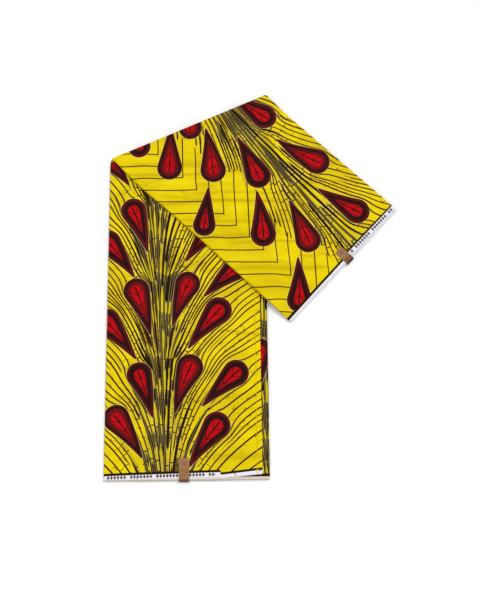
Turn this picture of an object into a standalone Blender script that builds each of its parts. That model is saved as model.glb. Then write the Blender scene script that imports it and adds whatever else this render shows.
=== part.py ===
"""A six yard length of printed cotton, folded to a flat strip and folded over once on a slant.

Metres, +Z up. The strip lies on z = 0 with its long side along +Y, and the flap runs down to the right.
Every piece is worked out on the cloth first: u across the strip from its closed edge, v along it from
the lower selvedge, n up through the layers from the face that lies on the surface. place() then folds
such points over into the pile.
"""

import math

import bmesh
import bpy
import numpy as np

# Driving dimensions of the strip
STRIP_LENGTH = 1.214  # along the flap panel, selvedge to selvedge
STACK_WIDTH = 0.3355  # widest layer
FRONT_WIDTH = 0.3205  # top layer of the lower stack
WALL = 0.0012  # outermost cloth
THIN_WALL = 0.0010  # second layer
GAP = 0.0003  # between neighbouring pieces
FOLD_CLEAR = 0.0003  # more room on each side of the line where the stack starts to fold
LOWER_CORE_DEPTH = 0.0031  # hidden layers of the lower stack
AXIS_CLEAR = 0.0002  # from the stack's face to the axis of the fold
BASE_CLEAR = 0.0001  # from that axis to the flap's base
CORE_INSET = 0.0010  # room round the hidden layers at the closed edge
UNDER_EDGE = 0.0006  # closed edge of the bottom layer, in from the front panel's turn

# The slanting fold
FOLD_AT = 0.673  # where the fold starts, measured up the closed edge
FOLD_SLANT = math.radians(23.3)  # its angle to the strip's cross direction
FOLD_SWELL = 0.12  # how much thicker the loose fold is than the pressed pile
SWELL_REACH = 0.050  # distance over which that dies away
RAMP = 0.042  # length over which the flap comes down off the lower stack
RAMP_START = 0.010  # clear of the lower stack's edge

# Where each end of the layers lies, at the closed edge and at the open edge
FRONT_END = (0.003, 0.011)
SECOND_END = (0.0015, 0.0015)
CORE_END = (0.0, 0.0)
UNDER_END = (0.002, 0.002)
FLAP_OVERHANG = (0.0025, 0.0070)  # how far the inner layers show past the flap panel
EDGE_BOW = 0.0038  # the flap's closed edge swells out just past the fold
EDGE_BOW_AT = 0.080
EDGE_BOW_REACH = 0.060
EDGE_BOW_START = 0.030  # it grows from nothing over this distance

# Heights worked out from the walls
LOWER_CORE_BASE = WALL + GAP
LOWER_CORE_TOP = LOWER_CORE_BASE + LOWER_CORE_DEPTH
SECOND_TOP = LOWER_CORE_TOP + GAP + THIN_WALL
STACK_DEPTH = SECOND_TOP + GAP + WALL
AXIS_HEIGHT = STACK_DEPTH + AXIS_CLEAR  # axis that the cloth rolls round
FLAP_DEPTH = AXIS_HEIGHT - BASE_CLEAR  # from the flap's face to its base
FLAP_BASE = 2 * AXIS_HEIGHT - FLAP_DEPTH  # height of that base while it lies on the lower stack
ROLL_RADIUS = AXIS_HEIGHT - WALL / 2
ROLL_LENGTH = math.pi * ROLL_RADIUS
SIDE_RADIUS = STACK_DEPTH / 2  # closed edge of the pile
CORE_SIDE_RADIUS = SIDE_RADIUS - WALL - CORE_INSET  # closed edge of the hidden layers
FOOT_IN_ROLL = SIDE_RADIUS + GAP  # how far round the closed edge the flap panel reaches in the fold
FOOT_REACH = 0.030  # distance past the fold over which it comes to reach the base
ROLL_PINCH = 0.0008  # the hidden layers stop this far outside the fold axis
PINCH_REACH = 0.020  # distance past the fold over which that ends
SLANT_COS = math.cos(FOLD_SLANT)
SLANT_SIN = math.sin(FOLD_SLANT)

# The lower stack is flatter along its open edge, past a crease
SHOULDER_AT = 0.309
SHOULDER_WIDTH = 0.012
SHOULDER_DROP = 0.0012  # depth that the hidden layers lose there

# Layered edges of the hidden layers: share of the depth where a group ends, how far back it lies
LAYER_COLUMNS = ("stop", "back")
LOWER_LAYERS = ((0.36, 0.0), (0.70, 0.0022), (1.0, 0.0008))
FLAP_LAYERS = ((0.18, 0.0016), (0.40, 0.0034), (0.60, 0.0010), (0.82, 0.0024), (1.0, 0.0))
GROOVE = 0.0009  # depth of the groove between two groups

# Paper labels
TAG_COLUMNS = ("middle", "width", "length")
LOWER_TAG = dict(zip(TAG_COLUMNS, (0.1625, 0.021, 0.0472)))
FLAP_TAG = dict(zip(TAG_COLUMNS, (0.183, 0.019, 0.036)))
TAG_WALL = 0.0008
TAG_CLEAR = 0.0014  # between a tag and the ends of the layers it passes
TAG_FOOT = 0.0004  # between a tag's end and what the pile lies on
ON_SECOND = SECOND_TOP + GAP + TAG_WALL
ON_FRONT = STACK_DEPTH + GAP + TAG_WALL
ON_FLAP = -GAP - TAG_WALL

# Outer face of each tag: distance in from its turn, and place in the layers
LOWER_TAG_PATH = (
    (0.0, TAG_FOOT),
    (0.0, 0.0030),
    (0.0010, 0.0060),
    (0.0042, ON_SECOND),
    (0.0077, ON_FRONT),
    (0.0222, ON_FRONT),
    (LOWER_TAG["length"], ON_FRONT),
)
FLAP_TAG_PATH = (
    (0.0, FLAP_DEPTH - TAG_FOOT),
    (0.0, 0.0040),
    (0.0010, 0.0014),
    (0.0060, ON_FLAP),
    (0.0200, ON_FLAP),
    (FLAP_TAG["length"], ON_FLAP),
)

# Lines of points across and along the cloth
LOWER_COLUMNS = 11
FLAP_COLUMNS = 13
LOWER_ROWS = 6
ROLL_ROWS = 10
FLAP_ROWS = 12
SIDE_STEPS = 5
NEAR_FOLD = (0.025, 0.050, 0.080, 0.120)  # rows that run with the fold, by distance from it
END_STRIP = 0.014  # last row of cells before each end
EDGE_STRIP = 0.006  # last column of cells at the open edge
SHARP_ANGLE = math.radians(35)


def smooth(a):
    """0 below 0, 1 above 1, and an S between."""
    a = np.clip(a, 0.0, 1.0)
    return a * a * (3 - 2 * a)


def past_fold(u, v):
    """Distance of a cloth point past the fold line, square to it."""
    return (v - FOLD_AT) * SLANT_COS - u * SLANT_SIN


def along_at(u, t):
    """Distance up the strip of the line that lies t past the fold line."""
    return FOLD_AT + (t + u * SLANT_SIN) / SLANT_COS


def place_raw(u, v, n):
    """Rolls the cloth round the fold axis, then lets the flap settle on what is under it."""
    u, v, n = np.broadcast_arrays(np.asarray(u, float), np.asarray(v, float), np.asarray(n, float))
    t = past_fold(u, v)
    along = (v - FOLD_AT) * SLANT_SIN + u * SLANT_COS
    down_flap = np.maximum(t - ROLL_LENGTH, 0)
    bow = EDGE_BOW * np.exp(-(((down_flap - EDGE_BOW_AT) / EDGE_BOW_REACH) ** 2))
    along = along - bow * smooth(down_flap / EDGE_BOW_START) * (1 - u / STACK_WIDTH) ** 3
    drop = SHOULDER_DROP * smooth((u - SHOULDER_AT) / SHOULDER_WIDTH)
    n = np.where(t < 0, n - drop * np.clip((n - LOWER_CORE_BASE) / LOWER_CORE_DEPTH, 0, 1), n)
    turn = np.clip(t / ROLL_RADIUS, 0, math.pi)
    radius = AXIS_HEIGHT - n
    out = np.where(t < 0, t, radius * np.sin(turn)) - down_flap
    x = along * SLANT_COS - out * SLANT_SIN
    y = FOLD_AT + along * SLANT_SIN + out * SLANT_COS
    z = AXIS_HEIGHT - radius * np.cos(turn)
    over = (1 - np.cos(turn)) / 2
    z = z - over * FLAP_BASE * smooth((x - STACK_WIDTH - RAMP_START) / RAMP)
    z = z * (1 + FOLD_SWELL * np.exp(-(((out - AXIS_HEIGHT) / SWELL_REACH) ** 2)))
    return np.stack([x, y, z], axis=-1)


def pile_middle():
    """Middle of the pile's plan, from its outermost corners."""
    right = place_raw(STACK_WIDTH, STRIP_LENGTH + FLAP_OVERHANG[1], 0.0)[0]
    top = place_raw(STACK_WIDTH, along_at(STACK_WIDTH, ROLL_LENGTH / 2), 0.0)[1]
    return np.array([right / 2, top / 2 - TAG_WALL, 0.0])


MIDDLE = pile_middle()


def place(u, v, n):
    """A cloth point in the pile, with the origin under the pile's middle."""
    return place_raw(u, v, n) - MIDDLE


def fold_line(t):
    """A line across the cloth that runs with the fold, t past it, as its places on the two edges."""
    return along_at(0.0, t), along_at(STACK_WIDTH, t)


def lines_between(first, last, count):
    """Lines from the first to just before the last, evenly spaced on each edge."""
    shares = np.linspace(0, 1, count, endpoint=False)[:, None]
    return [tuple(line) for line in (1 - shares) * np.array(first) + shares * np.array(last)]


def lower_lines(ends):
    """Lines of points from a selvedge end up to the fold."""
    square = (END_STRIP, END_STRIP)
    near = [fold_line(-t) for t in reversed(NEAR_FOLD)]
    return [ends] + lines_between(square, near[0], LOWER_ROWS) + near + [fold_line(-GAP - FOLD_CLEAR)]


def flap_lines(overhang=(0.0, 0.0)):
    """Lines of points round the fold and down the flap to its selvedge end."""
    turns = np.arange(1, ROLL_ROWS + 1) / ROLL_ROWS
    rolled = [fold_line(FOLD_CLEAR)] + [fold_line(ROLL_LENGTH * turn) for turn in turns]
    near = [fold_line(ROLL_LENGTH + t) for t in NEAR_FOLD]
    square = (STRIP_LENGTH - END_STRIP, STRIP_LENGTH - END_STRIP)
    down = lines_between(near[-1], square, FLAP_ROWS)[1:]
    return rolled + near + down + [square, (STRIP_LENGTH + overhang[0], STRIP_LENGTH + overhang[1])]


def on_line(lines, row, u):
    """Distance up the strip of the given rows' lines, at a distance u across."""
    first, last = np.array(lines)[row].T
    return first + (last - first) * u / STACK_WIDTH


def cloth_material(name, colour, roughness=0.7):
    material = bpy.data.materials.new(name)
    material.use_nodes = True
    shader = material.node_tree.nodes["Principled BSDF"]
    shader.inputs["Base Color"].default_value = (*colour, 1.0)
    shader.inputs["Roughness"].default_value = roughness
    shader.inputs["Metallic"].default_value = 0.0
    return material


def finish_object(name, mesh, material):
    piece = bpy.data.objects.new(name, mesh)
    piece.data.materials.append(material)
    mesh.shade_smooth()
    mesh.set_sharp_from_angle(angle=SHARP_ANGLE)
    cloth.objects.link(piece)
    return piece


def split_grid(columns, rows):
    """A unit grid primitive with this many points each way, its cells split along one diagonal."""
    work = bmesh.new()
    bmesh.ops.create_grid(work, x_segments=columns - 1, y_segments=rows - 1, size=0.5)
    bmesh.ops.triangulate(work, faces=work.faces, quad_method="FIXED")
    return work


def to_mesh(name, work):
    mesh = bpy.data.meshes.new(name)
    work.to_mesh(mesh)
    work.free()
    return mesh


def point_numbers(mesh, columns, rows):
    """The column and row of each point of a unit grid, and its share of the height."""
    flat = np.empty(len(mesh.vertices) * 3)
    mesh.vertices.foreach_get("co", flat)
    share = flat.reshape(-1, 3) + (0.5, 0.5, 0.0)
    column = np.rint(share[:, 0] * (columns - 1)).astype(int)
    row = np.rint(share[:, 1] * (rows - 1)).astype(int)
    return column, row, share[:, 2]


def move_points(mesh, points):
    mesh.vertices.foreach_set("co", np.asarray(points, float).ravel())
    mesh.update()


def thicken(piece, wall, inward):
    """Turns a surface into a wall. Inward is -1 where its faces point out of the pile, or else 1."""
    solid = piece.modifiers.new("wall", "SOLIDIFY")
    solid.thickness = wall
    solid.offset = inward
    solid.use_even_offset = True


def sheet(name, section, lines, wall, material, inward=-1.0):
    """A wall of cloth whose outer face is a section of (u, n) points carried along the lines."""
    mesh = to_mesh(name, split_grid(len(section), len(lines)))
    column, row, _ = point_numbers(mesh, len(section), len(lines))
    u, n = np.array(section)[column].T
    v = on_line(lines, row, u)
    past = past_fold(u, v)
    foot = FOOT_IN_ROLL + (FLAP_DEPTH - FOOT_IN_ROLL) * smooth((past - ROLL_LENGTH) / FOOT_REACH)
    n = np.where(past < 0, n, np.minimum(n, foot))
    move_points(mesh, place(u, v, n))
    thicken(finish_object(name, mesh, material), wall, inward)


def side_arc():
    """Section points round the pile's closed edge, as (u, height), up to the level face."""
    turns = np.linspace(0, math.pi / 2, SIDE_STEPS, endpoint=False)
    rise = STACK_DEPTH - SIDE_RADIUS
    return [(SIDE_RADIUS * (1 - math.cos(a)), rise + SIDE_RADIUS * math.sin(a)) for a in turns]


def lower_columns(stop):
    """Distances across the lower stack, closer together at the shoulder."""
    level = list(np.linspace(SIDE_RADIUS + GAP, SHOULDER_AT, LOWER_COLUMNS))
    edge = [SHOULDER_AT + SHOULDER_WIDTH / 2, FRONT_WIDTH, STACK_WIDTH - EDGE_STRIP, STACK_WIDTH]
    return [u for u in level + edge if u <= stop]


def flap_columns():
    return list(np.linspace(SIDE_RADIUS + GAP, STACK_WIDTH - EDGE_STRIP, FLAP_COLUMNS)) + [STACK_WIDTH]


def layer_levels(layers):
    """Shares of the depth with points, and how far back each lies: each groove and each group's nose."""
    levels, back = [0.0], [layers[0][1] + GROOVE]
    for layer in (dict(zip(LAYER_COLUMNS, row)) for row in layers):
        levels += [(levels[-1] + layer["stop"]) / 2, layer["stop"]]
        back += [layer["back"], layer["back"] + GROOVE]
    return np.array(levels), np.array(back)


def core(name, columns, lines, base, top, layers, open_end, material):
    """Hidden layers: a grid drawn down to a block, cut into levels, and each point moved onto the fold.

    The open end and the open edge are grooved between layer groups. The closed edge is round.
    """
    levels, back = layer_levels(layers)
    work = split_grid(len(columns), len(lines))
    drawn = bmesh.ops.extrude_face_region(work, geom=work.faces[:])["geom"]
    raised = [v for v in drawn if isinstance(v, bmesh.types.BMVert)]
    bmesh.ops.translate(work, verts=raised, vec=(0, 0, 1))
    upright = [e for e in work.edges if abs(e.verts[0].co.z - e.verts[1].co.z) > 0.5]
    bmesh.ops.subdivide_edges(work, edges=upright, cuts=len(levels) - 2)
    bmesh.ops.recalc_face_normals(work, faces=work.faces)
    mesh = to_mesh(name, work)
    column, row, height = point_numbers(mesh, len(columns), len(lines))
    level = np.rint(height * (len(levels) - 1)).astype(int)
    n = base + (top - base) * levels[level]
    rise = np.abs(n - SIDE_RADIUS).clip(0, CORE_SIDE_RADIUS)
    closed = SIDE_RADIUS - np.sqrt(CORE_SIDE_RADIUS**2 - rise**2)
    u = np.array(columns)[column]
    u = np.where(column == 0, closed, np.where(column == len(columns) - 1, u - back[level], u))
    v = on_line(lines, row, u)
    open_row = 0 if open_end < 0 else len(lines) - 1
    v = np.where(row == open_row, v - open_end * back[level], v)
    rolled = smooth((past_fold(u, v) - ROLL_LENGTH) / PINCH_REACH)
    n = np.where(past_fold(u, v) < 0, n, np.minimum(n, FLAP_DEPTH - ROLL_PINCH * (1 - rolled)))
    move_points(mesh, place(u, v, n))
    finish_object(name, mesh, material)


def tag(name, size, path, turn, along, material):
    """A paper strip that hangs over the ends of the layers at turn and lies back on the face."""
    mesh = to_mesh(name, split_grid(3, len(path)))
    column, row, _ = point_numbers(mesh, 3, len(path))
    inside, n = np.array(path)[row].T
    u = size["middle"] + (column / 2 - 0.5) * size["width"]
    move_points(mesh, place(u, turn + along * inside, n))
    thicken(finish_object(name, mesh, material), TAG_WALL, -1.0)


def build_lower_stack():
    yellow = cloth_material("front_print", (0.86, 0.68, 0.01))
    dark = cloth_material("second_print", (0.42, 0.36, 0.03))
    cream = cloth_material("lower_layers", (0.83, 0.78, 0.62))
    back = cloth_material("under_print", (0.80, 0.62, 0.02))
    level = [(u, STACK_DEPTH) for u in lower_columns(FRONT_WIDTH)]
    front = [(0.0, LOWER_CORE_BASE)] + side_arc() + level
    sheet("front_panel", front, lower_lines(FRONT_END), WALL, yellow)
    second = [(u, SECOND_TOP) for u in lower_columns(STACK_WIDTH)]
    sheet("second_layer", second, lower_lines(SECOND_END), THIN_WALL, dark)
    under = [(u, 0.0) for u in [UNDER_EDGE] + lower_columns(STACK_WIDTH)]
    sheet("under_panel", under, lower_lines(UNDER_END), WALL, back, inward=1.0)
    columns = lower_columns(STACK_WIDTH)
    lines = lower_lines(CORE_END)
    core("lower_core", columns, lines, LOWER_CORE_BASE, LOWER_CORE_TOP, LOWER_LAYERS, -1, cream)


def build_flap():
    yellow = cloth_material("flap_print", (0.86, 0.68, 0.01))
    cream = cloth_material("flap_layers", (0.83, 0.78, 0.62))
    side = [(u, STACK_DEPTH - height) for u, height in side_arc()]
    section = [(0.0, FLAP_DEPTH)] + side + [(u, 0.0) for u in flap_columns()]
    sheet("flap_panel", section, flap_lines(), WALL, yellow, inward=1.0)
    lines = flap_lines(FLAP_OVERHANG)
    core("flap_core", flap_columns(), lines, LOWER_CORE_BASE, FLAP_DEPTH, FLAP_LAYERS, 1, cream)


def build_tags():
    paper = cloth_material("tag_paper", (0.38, 0.20, 0.09), 0.6)
    tag("lower_tag", LOWER_TAG, LOWER_TAG_PATH, -TAG_CLEAR - TAG_WALL, 1, paper)
    widen = (FLAP_OVERHANG[1] - FLAP_OVERHANG[0]) / STACK_WIDTH
    overhang = FLAP_OVERHANG[0] + widen * FLAP_TAG["middle"]
    end = STRIP_LENGTH + overhang + TAG_CLEAR + TAG_WALL
    tag("flap_tag", FLAP_TAG, FLAP_TAG_PATH, end, -1, paper)


for old in list(bpy.data.objects):
    bpy.data.objects.remove(old, do_unlink=True)
cloth = bpy.data.collections.new("folded_print_cloth")
bpy.context.scene.collection.children.link(cloth)
build_lower_stack()
build_flap()
build_tags()
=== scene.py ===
import math

import bpy
import numpy as np
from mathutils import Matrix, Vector


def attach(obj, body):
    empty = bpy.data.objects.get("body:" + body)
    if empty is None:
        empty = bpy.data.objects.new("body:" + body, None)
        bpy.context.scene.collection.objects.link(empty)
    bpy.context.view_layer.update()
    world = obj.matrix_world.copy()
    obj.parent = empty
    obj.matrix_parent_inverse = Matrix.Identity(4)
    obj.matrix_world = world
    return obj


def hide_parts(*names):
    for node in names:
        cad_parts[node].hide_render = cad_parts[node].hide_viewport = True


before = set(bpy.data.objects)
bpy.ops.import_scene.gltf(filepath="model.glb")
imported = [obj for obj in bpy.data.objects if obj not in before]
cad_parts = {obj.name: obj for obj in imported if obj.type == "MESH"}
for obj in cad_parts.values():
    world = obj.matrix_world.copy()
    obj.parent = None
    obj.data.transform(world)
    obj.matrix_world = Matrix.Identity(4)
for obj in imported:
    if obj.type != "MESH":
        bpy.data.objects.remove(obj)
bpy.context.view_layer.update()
print("cloth: frame loaded")

# Camera: almost straight down on the pile, the closed edge to the left
view = {
    "elevation": math.radians(80.0),
    "azimuth": math.radians(0.6),
    "distance": 1.5,
    "focalPixels": 710.5,
    "pictureHeight": 600,
    "sensor": 24.0,
    "target": (-0.0311, -0.0425, 0.0),
}


def setCamera():
    turn = view["azimuth"]
    rise = view["elevation"]
    ahead = Vector((math.sin(turn) * math.cos(rise), math.cos(turn) * math.cos(rise), -math.sin(rise)))
    data = bpy.data.cameras.new("photoCamera")
    data.sensor_fit = "VERTICAL"
    data.sensor_height = view["sensor"]
    data.lens = view["focalPixels"] / view["pictureHeight"] * view["sensor"]
    camera = bpy.data.objects.new("photoCamera", data)
    camera.location = Vector(view["target"]) - view["distance"] * ahead
    camera.rotation_euler = ahead.to_track_quat("-Z", "Y").to_euler()
    bpy.context.scene.collection.objects.link(camera)
    bpy.context.scene.camera = camera


setCamera()

# The pile, in metres. On the cloth u runs across the strip from its closed edge, v along it from the
# lower selvedge, and n up through the layers from the face that lies on the floor.
strip = {
    "length": 1.214,
    "width": 0.3355,
    "frontWidth": 0.3205,
    "wall": 0.0012,  # depth of a folded pair of layers
    "thinWall": 0.0010,
    "gap": 0.0003,
    "coreDepth": 0.0031,
    "axisClear": 0.0002,
    "baseClear": 0.0001,
    "secondEnd": (0.0015, 0.0015),  # selvedge ends, at the closed edge and at the open edge
    "underEnd": (0.002, 0.002),
    "overhang": (0.0025, 0.0070),  # inner layers past the flap's top layer
    "cotton": 0.00032,  # one layer of cloth
    "underInset": 0.0006,
    "tagWall": 0.0008,  # room for a label
}
fold = {
    "at": 0.673,
    "slant": math.radians(23.3),
    "swell": 0.12,
    "swellReach": 0.050,
    "ramp": 0.042,
    "rampStart": 0.010,
    "bow": 0.0038,
    "bowAt": 0.080,
    "bowReach": 0.060,
    "bowStart": 0.030,
    "clear": 0.0006,  # the strip's layers end this far before it
    "start": 0.0003,  # and the flap's start this far past it
    "footReach": 0.030,
    "shoulderAt": 0.309,
    "shoulderWidth": 0.012,
    "shoulderDrop": 0.0012,
}
coreBase = strip["wall"] + strip["gap"]
coreTop = coreBase + strip["coreDepth"]
secondTop = coreTop + strip["gap"] + strip["thinWall"]
stackDepth = secondTop + strip["gap"] + strip["wall"]
axisHeight = stackDepth + strip["axisClear"]
flapDepth = axisHeight - strip["baseClear"]
flapBase = 2 * axisHeight - flapDepth
rollRadius = axisHeight - strip["wall"] / 2
rollLength = math.pi * rollRadius
sideRadius = stackDepth / 2
footInRoll = sideRadius + strip["gap"]
levelStart = sideRadius + strip["gap"]  # of the face past the closed edge's arc
slantCos = math.cos(fold["slant"])
slantSin = math.sin(fold["slant"])
tiny = 1e-12  # keeps a division from failing


def smooth(a):  # 0 below 0, 1 above 1, and an S between
    a = np.clip(a, 0.0, 1.0)
    return a * a * (3 - 2 * a)


def pastFold(u, v):  # distance past the fold line, square to it
    return (v - fold["at"]) * slantCos - u * slantSin


def alongAt(u, t):  # how far up the strip the line lies that is t past the fold
    return fold["at"] + (t + u * slantSin) / slantCos


def alongFold(u, v):  # distance along the fold line
    return (v - fold["at"]) * slantSin + u * slantCos


# The layers roll half a turn round the fold's axis, then the flap lies back and comes down to the floor
def placeRaw(u, v, n):
    t = pastFold(u, v)
    along = alongFold(u, v)
    downFlap = np.maximum(t - rollLength, 0)
    bow = fold["bow"] * np.exp(-(((downFlap - fold["bowAt"]) / fold["bowReach"]) ** 2))
    along = along - bow * smooth(downFlap / fold["bowStart"]) * np.clip(1 - u / strip["width"], 0, 1) ** 3
    drop = fold["shoulderDrop"] * smooth((u - fold["shoulderAt"]) / fold["shoulderWidth"])
    n = np.where(t < 0, n - drop * np.clip((n - coreBase) / strip["coreDepth"], 0, 1), n)
    turn = np.clip(t / rollRadius, 0, math.pi)
    radius = axisHeight - n
    out = np.where(t < 0, t, radius * np.sin(turn)) - downFlap
    x = along * slantCos - out * slantSin
    y = fold["at"] + along * slantSin + out * slantCos
    z = axisHeight - radius * np.cos(turn)
    over = (1 - np.cos(turn)) / 2
    z = z - over * flapBase * smooth((x - strip["width"] - fold["rampStart"]) / fold["ramp"])
    z = z * (1 + fold["swell"] * np.exp(-(((out - axisHeight) / fold["swellReach"]) ** 2)))
    return np.stack([x, y, z], axis=-1)


def pileMiddle():  # of the pile's box, with the lower label past its end
    right = placeRaw(strip["width"], strip["length"] + strip["overhang"][1], 0.0)[0]
    top = placeRaw(strip["width"], alongAt(strip["width"], rollLength / 2), 0.0)[1]
    return np.array([right / 2, top / 2 - strip["tagWall"], 0.0])


middle = pileMiddle()

# Creases across the cloth: place up the strip, slope, height (below 0 is a trough), half width, and
# the stretch across the strip that each one covers
creaseColumns = ("at", "lean", "height", "half", "first", "last")
lowerCreases = (
    (0.312, -0.015, 0.0008, 0.0034, 0.165, 0.318),
    (0.298, 0.006, -0.0004, 0.0080, 0.190, 0.310),
    (0.160, 0.010, 0.0003, 0.0090, 0.020, 0.300),
    (0.222, -0.004, 0.0003, 0.0040, 0.200, 0.322),
    (0.262, 0.008, -0.0003, 0.0060, 0.120, 0.322),
    (0.098, 0.006, 0.0003, 0.0050, 0.190, 0.322),
    (0.058, -0.010, 0.0005, 0.0080, 0.205, 0.322),
    (0.392, 0.012, 0.0003, 0.0060, -0.010, 0.140),
    (0.452, -0.010, 0.0003, 0.0080, 0.030, 0.210),
)
flapCreases = (
    (0.715, 0.350, 0.0005, 0.0050, 0.020, 0.150),
    (0.748, 0.330, 0.0006, 0.0036, 0.000, 0.210),
    (0.770, 0.335, -0.0004, 0.0060, 0.030, 0.190),
    (0.806, 0.360, 0.0004, 0.0045, 0.060, 0.230),
    (0.838, 0.340, 0.0007, 0.0050, 0.000, 0.180),
    (0.858, 0.345, -0.0004, 0.0070, 0.020, 0.150),
    (0.897, 0.355, 0.0005, 0.0040, 0.000, 0.240),
    (0.945, 0.330, 0.0005, 0.0060, 0.000, 0.130),
    (0.966, 0.350, 0.0006, 0.0038, 0.040, 0.200),
    (1.020, 0.345, -0.0004, 0.0080, 0.010, 0.150),
    (1.052, 0.330, 0.0006, 0.0050, 0.000, 0.140),
    (1.105, 0.360, 0.0004, 0.0045, 0.000, 0.090),
    (1.060, -0.030, 0.0004, 0.0080, 0.120, 0.336),
    (0.990, 0.060, 0.0004, 0.0060, 0.200, 0.336),
)
creaseShape = {
    "wander": 0.0035,  # how far a crease's line swings to and fro
    "wanderRun": 0.031,
    "wanderShift": 40,
    "fades": (0.03, 0.02),  # lengths over which its two ends die away
    "steep": 1.5,
    "fullShadeAndLight": 0.0006,  # the height that has the full painted shade on a ridge and the full painted light in a trough
    "waves": (0.00016, 0.00007),  # heights of the slow ones and of the fine one
    "acrossWave": (0.017, 2.1, 0.060),  # its run, how far its crests bend, and the run of their bends
    "alongWave": (0.026, 1.3, 0.050),
    "fineWave": (0.011, 2.6, 1.0),
    "fineBends": (0.045, 0.080),
    "flapShift": 0.11,  # gives the flap waves of its own
    "besideFlap": 0.015,  # distances over which the relief dies away
    "besideFold": 0.02,
}


def creaseHeight(u, v, creases):  # each is a bell across its line that dies away at its two ends
    total = np.zeros_like(u)
    for row in creases:
        crease = dict(zip(creaseColumns, row))
        middleLine = crease["at"] + crease["lean"] * u / strip["width"]
        swing = u / creaseShape["wanderRun"] + creaseShape["wanderShift"] * crease["at"]
        away = (v - middleLine - creaseShape["wander"] * np.sin(swing)) / crease["half"]
        fadeIn, fadeOut = creaseShape["fades"]
        inside = smooth((u - crease["first"]) / fadeIn + 0.5) * smooth((crease["last"] - u) / fadeOut + 0.5)
        total += crease["height"] * inside * np.exp(-np.abs(away) ** creaseShape["steep"])
    return total


def bentWave(place, beside, run, bend, bendRun):  # a sine wave whose crests swing to and fro
    return np.sin(place / run + bend * np.sin(beside / bendRun))


def unevenness(u, v):  # two slow waves that cross, and a fine one
    slow = bentWave(u, v, *creaseShape["acrossWave"]) * bentWave(v, u, *creaseShape["alongWave"])
    bendAcross, bendAlong = creaseShape["fineBends"]
    fine = bentWave(v, u / bendAcross + v / bendAlong, *creaseShape["fineWave"])
    slowHeight, fineHeight = creaseShape["waves"]
    return slowHeight * slow + fineHeight * fine


def relief(u, v, n):
    # How far the creases lift a point of the cloth: the face fully, the layers below less and less
    t = pastFold(u, v)
    wide = np.clip(u, 0.0, strip["width"])
    lower = creaseHeight(wide, v, lowerCreases) + unevenness(wide, v)
    upper = creaseHeight(wide, v, flapCreases) + unevenness(wide + creaseShape["flapShift"], v)
    underFlap = alongFold(u, v) * slantCos - (rollLength - t) * slantSin
    lower = lower * smooth(-underFlap / creaseShape["besideFlap"]) * smooth(-t / creaseShape["besideFold"])
    lower = lower * np.clip(n / stackDepth, 0, 1) ** 2
    share = np.clip((flapDepth - n) / flapDepth, 0, 1)
    upper = upper * smooth((t - rollLength) / creaseShape["besideFold"]) * share**2
    return np.where(t < 0, lower, -upper)


def settle(u, v, n):  # a cloth point in the pile, creased, in the frame's own coordinates
    u, v, n = (np.asarray(a, float) for a in np.broadcast_arrays(u, v, n))
    return placeRaw(u, v, n + relief(u, v, n)) - middle


# Print: plumes of stems that rise along an axis and bend away from it, with buds on them. A plume's stems
# are the curves on which x exp(-y / bend) stays the same, x across its axis and y up it.
budColumns = ("side", "up", "out", "size")
looseColumns = ("u", "v", "turn", "size")
bundleColumns = ("side", "up", "width")
lowerPlume = {
    "root": (0.125, 0.0),
    "lean": -0.040,
    "bend": (0.125, 0.115),  # left and right of the axis
    "trunk": (0.0400, 0.0190),  # half width of the dense part, at the root and at the top
    "closest": (0.0073, 0.0042),  # least pitch of its stems, there too
    "opens": 0.027,  # how fast that grows away from the trunk
    "height": 0.30,
    "bundles": (
        (-1, 0.100, 0.0085),
        (-1, 0.262, 0.0110),
        (-1, 0.436, 0.0110),
        (-1, 0.610, 0.0100),
        (1, 0.150, 0.0075),
        (1, 0.285, 0.0100),
        (1, 0.462, 0.0100),
    ),
    "buds": (
        (-1, 0.130, 0.096, 1.00),
        (-1, 0.216, 0.047, 0.96),
        (-1, 0.330, 0.112, 1.04),
        (-1, 0.392, 0.048, 1.02),
        (-1, 0.500, 0.105, 0.98),
        (-1, 0.568, 0.050, 1.00),
        (-1, 0.702, 0.116, 1.00),
        (1, 0.105, 0.108, 1.04),
        (1, 0.226, 0.058, 1.02),
        (1, 0.210, 0.152, 1.00),
        (1, 0.342, 0.122, 1.05),
        (1, 0.402, 0.060, 0.98),
        (1, 0.434, 0.168, 1.00),
        (1, 0.524, 0.120, 1.00),
    ),
    "loose": (),
}
flapPlume = {
    "root": (0.262, 0.745),
    "lean": -0.120,
    "bend": (0.170, 0.150),
    "trunk": (0.0400, 0.0060),
    "closest": (0.0038, 0.0056),
    "opens": 0.015,
    "height": 0.30,
    "bundles": ((-1, 0.085, 0.0080), (-1, 0.240, 0.0080), (1, 0.180, 0.0070)),
    "buds": (
        (-1, 0.140, 0.115, 1.00),
        (-1, 0.212, 0.050, 1.02),
        (-1, 0.318, 0.126, 1.00),
        (-1, 0.388, 0.060, 1.00),
        (-1, 0.474, 0.160, 0.96),
        (1, 0.118, 0.048, 1.00),
        (1, 0.268, 0.070, 1.04),
        (1, 0.408, 0.062, 1.00),
    ),
    "loose": (
        (0.072, 0.798, 2.38, 0.98),
        (0.028, 0.940, 2.50, 0.88),
        (0.060, 0.716, 2.44, 0.90),
        (0.166, 0.768, 2.40, 0.92),
    ),
}
bud = {
    "head": 0.0265,
    "tip": 0.0014,
    "length": 0.094,
    "bow": 0.7,
    "push": 0.011,  # how far off stems still bend round it
    "pushShare": 0.50,
    "pushStart": 0.028,  # distance from the axis over which that sets in
    "kindStep": 0.382,
}
bundleShape = {
    "out": 0.1,  # distance from the axis of a bundle at the height in its row
    "powers": (-9, 2),  # limits of the power of e in its rule
    "fade": 0.13,
    "grow": (0.03, 0.3),
}
printRule = {
    "pitch": 0.0075,  # of the stems where a plume starts
    "blend": 0.10,  # width across the axis over which the left bend turns into the right one
    "far": 0.05,  # a distance that counts as far away
    "probe": 0.0004,  # step at which the pitch of the stems is measured
    "mostPitch": 90.0,
}
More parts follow.
